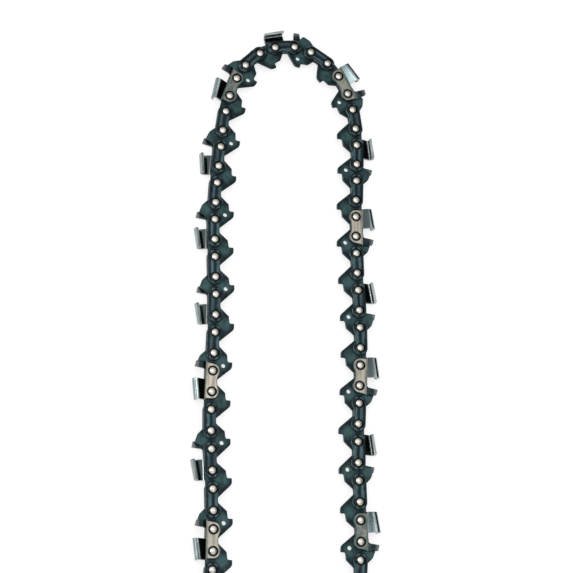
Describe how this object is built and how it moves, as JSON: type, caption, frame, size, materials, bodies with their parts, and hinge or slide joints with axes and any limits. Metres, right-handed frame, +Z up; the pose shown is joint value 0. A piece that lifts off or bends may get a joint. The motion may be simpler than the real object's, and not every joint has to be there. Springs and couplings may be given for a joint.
{
  "type": "saw chain loop",
  "caption": "Closed loop of low-profile saw chain with riveted drive links, tie straps and left and right cutters, lying flat; the links swivel on their rivets.",
  "frame": {"origin": "middle of the loop, on the surface that it lies on", "axes": "+Y along the straight runs, +X across the loop, +Z up; the chain runs clockwise seen from +Z"},
  "size_m": [0.091, 0.3558, 0.0073],
  "materials": {
    "blued_steel": "blue-black oxide on stamped steel, bright spun rivet heads",
    "chromed_steel": "hard chrome on the cutting plate, warm grey steel on the strap"
  },
  "bodies": {
    "pitch_01": {"plain_link_01": "blued_steel", "right_cutter_01": "chromed_steel"},
    "pitch_02": {"bumper_link_02": "blued_steel"},
    "pitch_03": {"plain_link_03": "blued_steel", "left_cutter_03": "chromed_steel"},
    "pitch_04": {"bumper_link_04": "blued_steel"},
    "pitch_05": {"plain_link_05": "blued_steel", "right_cutter_05": "chromed_steel"},
    "pitch_06": {"bumper_link_06": "blued_steel"},
    "pitch_07": {"plain_link_07": "blued_steel", "left_cutter_07": "chromed_steel"},
    "pitch_08": {"bumper_link_08": "blued_steel"},
    "pitch_09": {"plain_link_09": "blued_steel", "left_cutter_09": "chromed_steel"},
    "pitch_10": {"bumper_link_10": "blued_steel"},
    "pitch_11": {"plain_link_11": "blued_steel", "left_cutter_11": "chromed_steel"},
    "pitch_12": {"bumper_link_12": "blued_steel"},
    "pitch_13": {"plain_link_13": "blued_steel", "right_cutter_13": "chromed_steel"},
    "pitch_14": {"bumper_link_14": "blued_steel"},
    "pitch_15": {"plain_link_15": "blued_steel", "left_cutter_15": "chromed_steel"},
    "pitch_16": {"bumper_link_16": "blued_steel"},
    "pitch_17": {"plain_link_17": "blued_steel", "right_cutter_17": "chromed_steel"},
    "pitch_18": {"bumper_link_18": "blued_steel"},
    "pitch_19": {"plain_link_19": "blued_steel", "left_cutter_19": "chromed_steel"},
    "pitch_20": {"bumper_link_20": "blued_steel"},
    "pitch_21": {"plain_link_21": "blued_steel", "right_cutter_21": "chromed_steel"},
    "pitch_22": {"bumper_link_22": "blued_steel"},
    "pitch_23": {"plain_link_23": "blued_steel", "left_cutter_23": "chromed_steel"},
    "pitch_24": {"bumper_link_24": "blued_steel"},
    "pitch_25": {"plain_link_25": "blued_steel", "right_cutter_25": "chromed_steel"},
    "pitch_26": {"bumper_link_26": "blued_steel"},
    "pitch_27": {"plain_link_27": "blued_steel", "left_cutter_27": "chromed_steel"},
    "pitch_28": {"bumper_link_28": "blued_steel"},
    "pitch_29": {"plain_link_29": "blued_steel", "right_cutter_29": "chromed_steel"},
    "pitch_30": {"bumper_link_30": "blued_steel"},
    "pitch_31": {"plain_link_31": "blued_steel", "left_cutter_31": "chromed_steel"},
    "pitch_32": {"bumper_link_32": "blued_steel"},
    "pitch_33": {"plain_link_33": "blued_steel", "right_cutter_33": "chromed_steel"},
    "pitch_34": {"bumper_link_34": "blued_steel"},
    "pitch_35": {"plain_link_35": "blued_steel", "left_cutter_35": "chromed_steel"},
    "pitch_36": {"bumper_link_36": "blued_steel"},
    "pitch_37": {"plain_link_37": "blued_steel", "right_cutter_37": "chromed_steel"},
    "pitch_38": {"bumper_link_38": "blued_steel"},
    "pitch_39": {"plain_link_39": "blued_steel", "left_cutter_39": "chromed_steel"},
    "pitch_40": {"bumper_link_40": "blued_steel"}
  },
  "joints": [
    {"name": "pivot_17", "type": "hinge", "parent": "pitch_16", "child": "pitch_17", "pos_m": [0.02129, 0.1617, 0.00365], "axis": [0, 0, 1], "range_deg": [-12, 12]},
    {"name": "pivot_18", "type": "hinge", "parent": "pitch_17", "child": "pitch_18", "pos_m": [0.03156, 0.14636, 0.00365], "axis": [0, 0, 1], "range_deg": [-12, 12]},
    {"name": "pivot_19", "type": "hinge", "parent": "pitch_18", "child": "pitch_19", "pos_m": [0.03538, 0.12821, 0.00365], "axis": [0, 0, 1], "range_deg": [-12, 12]},
    {"name": "pivot_20", "type": "hinge", "parent": "pitch_19", "child": "pitch_20", "pos_m": [0.03572, 0.10962, 0.00365], "axis": [0, 0, 1], "range_deg": [-12, 12]},
    {"name": "pivot_21", "type": "hinge", "parent": "pitch_20", "child": "pitch_21", "pos_m": [0.03513, 0.09102, 0.00365], "axis": [0, 0, 1], "range_deg": [-12, 12]},
    {"name": "pivot_22", "type": "hinge", "parent": "pitch_21", "child": "pitch_22", "pos_m": [0.03483, 0.07243, 0.00365], "axis": [0, 0, 1], "range_deg": [-12, 12]},
    {"name": "pivot_23", "type": "hinge", "parent": "pitch_22", "child": "pitch_23", "pos_m": [0.03521, 0.05383, 0.00365], "axis": [0, 0, 1], "range_deg": [-12, 12]},
    {"name": "pivot_24", "type": "hinge", "parent": "pitch_23", "child": "pitch_24", "pos_m": [0.036, 0.03525, 0.00365], "axis": [0, 0, 1], "range_deg": [-12, 12]},
    {"name": "pivot_25", "type": "hinge", "parent": "pitch_24", "child": "pitch_25", "pos_m": [0.03632, 0.01665, 0.00365], "axis": [0, 0, 1], "range_deg": [-12, 12]},
    {"name": "pivot_26", "type": "hinge", "parent": "pitch_25", "child": "pitch_26", "pos_m": [0.03571, -0.00194, 0.00365], "axis": [0, 0, 1], "range_deg": [-12, 12]},
    {"name": "pivot_27", "type": "hinge", "parent": "pitch_26", "child": "pitch_27", "pos_m": [0.0348, -0.02051, 0.00365], "axis": [0, 0, 1], "range_deg": [-12, 12]},
    {"name": "pivot_28", "type": "hinge", "parent": "pitch_27", "child": "pitch_28", "pos_m": [0.03457, -0.03911, 0.00365], "axis": [0, 0, 1], "range_deg": [-12, 12]},
    {"name": "pivot_29", "type": "hinge", "parent": "pitch_28", "child": "pitch_29", "pos_m": [0.03507, -0.0577, 0.00365], "axis": [0, 0, 1], "range_deg": [-12, 12]},
    {"name": "pivot_30", "type": "hinge", "parent": "pitch_29", "child": "pitch_30", "pos_m": [0.03527, -0.0763, 0.00365], "axis": [0, 0, 1], "range_deg": [-12, 12]},
    {"name": "pivot_31", "type": "hinge", "parent": "pitch_30", "child": "pitch_31", "pos_m": [0.03433, -0.09487, 0.00365], "axis": [0, 0, 1], "range_deg": [-12, 12]},
    {"name": "pivot_32", "type": "hinge", "parent": "pitch_31", "child": "pitch_32", "pos_m": [0.03265, -0.1134, 0.00365], "axis": [0, 0, 1], "range_deg": [-12, 12]},
    {"name": "pivot_33", "type": "hinge", "parent": "pitch_32", "child": "pitch_33", "pos_m": [0.03026, -0.13184, 0.00365], "axis": [0, 0, 1], "range_deg": [-12, 12]},
    {"name": "pivot_34", "type": "hinge", "parent": "pitch_33", "child": "pitch_34", "pos_m": [0.02491, -0.14962, 0.00365], "axis": [0, 0, 1], "range_deg": [-12, 12]},
    {"name": "pivot_35", "type": "hinge", "parent": "pitch_34", "child": "pitch_35", "pos_m": [0.01323, -0.16389, 0.00365], "axis": [0, 0, 1], "range_deg": [-12, 12]},
    {"name": "pivot_16", "type": "hinge", "parent": "pitch_16", "child": "pitch_15", "pos_m": [0.00441, 0.1689, 0.00365], "axis": [0, 0, -1], "range_deg": [-12, 12]},
    {"name": "pivot_15", "type": "hinge", "parent": "pitch_15", "child": "pitch_14", "pos_m": [-0.01323, 0.16389, 0.00365], "axis": [0, 0, -1], "range_deg": [-12, 12]},
    {"name": "pivot_14", "type": "hinge", "parent": "pitch_14", "child": "pitch_13", "pos_m": [-0.02491, 0.14962, 0.00365], "axis": [0, 0, -1], "range_deg": [-12, 12]},
    {"name": "pivot_13", "type": "hinge", "parent": "pitch_13", "child": "pitch_12", "pos_m": [-0.03026, 0.13184, 0.00365], "axis": [0, 0, -1], "range_deg": [-12, 12]},
    {"name": "pivot_12", "type": "hinge", "parent": "pitch_12", "child": "pitch_11", "pos_m": [-0.03265, 0.1134, 0.00365], "axis": [0, 0, -1], "range_deg": [-12, 12]},
    {"name": "pivot_11", "type": "hinge", "parent": "pitch_11", "child": "pitch_10", "pos_m": [-0.03433, 0.09487, 0.00365], "axis": [0, 0, -1], "range_deg": [-12, 12]},
    {"name": "pivot_10", "type": "hinge", "parent": "pitch_10", "child": "pitch_09", "pos_m": [-0.03527, 0.0763, 0.00365], "axis": [0, 0, -1], "range_deg": [-12, 12]},
    {"name": "pivot_09", "type": "hinge", "parent": "pitch_09", "child": "pitch_08", "pos_m": [-0.03507, 0.0577, 0.00365], "axis": [0, 0, -1], "range_deg": [-12, 12]},
    {"name": "pivot_08", "type": "hinge", "parent": "pitch_08", "child": "pitch_07", "pos_m": [-0.03457, 0.03911, 0.00365], "axis": [0, 0, -1], "range_deg": [-12, 12]},
    {"name": "pivot_07", "type": "hinge", "parent": "pitch_07", "child": "pitch_06", "pos_m": [-0.0348, 0.02051, 0.00365], "axis": [0, 0, -1], "range_deg": [-12, 12]},
    {"name": "pivot_06", "type": "hinge", "parent": "pitch_06", "child": "pitch_05", "pos_m": [-0.03571, 0.00194, 0.00365], "axis": [0, 0, -1], "range_deg": [-12, 12]},
    {"name": "pivot_05", "type": "hinge", "parent": "pitch_05", "child": "pitch_04", "pos_m": [-0.03632, -0.01665, 0.00365], "axis": [0, 0, -1], "range_deg": [-12, 12]},
    {"name": "pivot_04", "type": "hinge", "parent": "pitch_04", "child": "pitch_03", "pos_m": [-0.036, -0.03525, 0.00365], "axis": [0, 0, -1], "range_deg": [-12, 12]},
    {"name": "pivot_03", "type": "hinge", "parent": "pitch_03", "child": "pitch_02", "pos_m": [-0.03521, -0.05383, 0.00365], "axis": [0, 0, -1], "range_deg": [-12, 12]},
    {"name": "pivot_02", "type": "hinge", "parent": "pitch_02", "child": "pitch_01", "pos_m": [-0.03483, -0.07243, 0.00365], "axis": [0, 0, -1], "range_deg": [-12, 12]},
    {"name": "pivot_01", "type": "hinge", "parent": "pitch_01", "child": "pitch_40", "pos_m": [-0.03513, -0.09102, 0.00365], "axis": [0, 0, -1], "range_deg": [-12, 12]},
    {"name": "pivot_40", "type": "hinge", "parent": "pitch_40", "child": "pitch_39", "pos_m": [-0.03572, -0.10962, 0.00365], "axis": [0, 0, -1], "range_deg": [-12, 12]},
    {"name": "pivot_39", "type": "hinge", "parent": "pitch_39", "child": "pitch_38", "pos_m": [-0.03538, -0.12821, 0.00365], "axis": [0, 0, -1], "range_deg": [-12, 12]},
    {"name": "pivot_38", "type": "hinge", "parent": "pitch_38", "child": "pitch_37", "pos_m": [-0.03156, -0.14636, 0.00365], "axis": [0, 0, -1], "range_deg": [-12, 12]},
    {"name": "pivot_37", "type": "hinge", "parent": "pitch_37", "child": "pitch_36", "pos_m": [-0.02129, -0.1617, 0.00365], "axis": [0, 0, -1], "range_deg": [-12, 12]}
  ],
  "couplings": [
    {"joint": "pivot_01", "follows": "pivot_21", "ratio": 1},
    {"joint": "pivot_02", "follows": "pivot_21", "ratio": -1},
    {"joint": "pivot_22", "follows": "pivot_21", "ratio": -1},
    {"joint": "pivot_03", "follows": "pivot_23", "ratio": 1},
    {"joint": "pivot_04", "follows": "pivot_23", "ratio": -1},
    {"joint": "pivot_24", "follows": "pivot_23", "ratio": -1},
    {"joint": "pivot_05", "follows": "pivot_25", "ratio": 1},
    {"joint": "pivot_06", "follows": "pivot_25", "ratio": -1},
    {"joint": "pivot_26", "follows": "pivot_25", "ratio": -1},
    {"joint": "pivot_07", "follows": "pivot_08", "ratio": -1},
    {"joint": "pivot_27", "follows": "pivot_08", "ratio": -1},
    {"joint": "pivot_28", "follows": "pivot_08", "ratio": 1},
    {"joint": "pivot_09", "follows": "pivot_10", "ratio": -1},
    {"joint": "pivot_29", "follows": "pivot_10", "ratio": -1},
    {"joint": "pivot_30", "follows": "pivot_10", "ratio": 1},
    {"joint": "pivot_11", "follows": "pivot_12", "ratio": -1},
    {"joint": "pivot_31", "follows": "pivot_12", "ratio": -1},
    {"joint": "pivot_32", "follows": "pivot_12", "ratio": 1},
    {"joint": "pivot_13", "follows": "pivot_14", "ratio": -1},
    {"joint": "pivot_33", "follows": "pivot_14", "ratio": -1},
    {"joint": "pivot_34", "follows": "pivot_14", "ratio": 1},
    {"joint": "pivot_15", "follows": "pivot_16", "ratio": -1},
    {"joint": "pivot_35", "follows": "pivot_16", "ratio": -1},
    {"joint": "pivot_18", "follows": "pivot_17", "ratio": -1},
    {"joint": "pivot_37", "follows": "pivot_17", "ratio": 1},
    {"joint": "pivot_38", "follows": "pivot_17", "ratio": -1},
    {"joint": "pivot_20", "follows": "pivot_19", "ratio": -1},
    {"joint": "pivot_39", "follows": "pivot_19", "ratio": 1},
    {"joint": "pivot_40", "follows": "pivot_19", "ratio": -1}
  ]
}
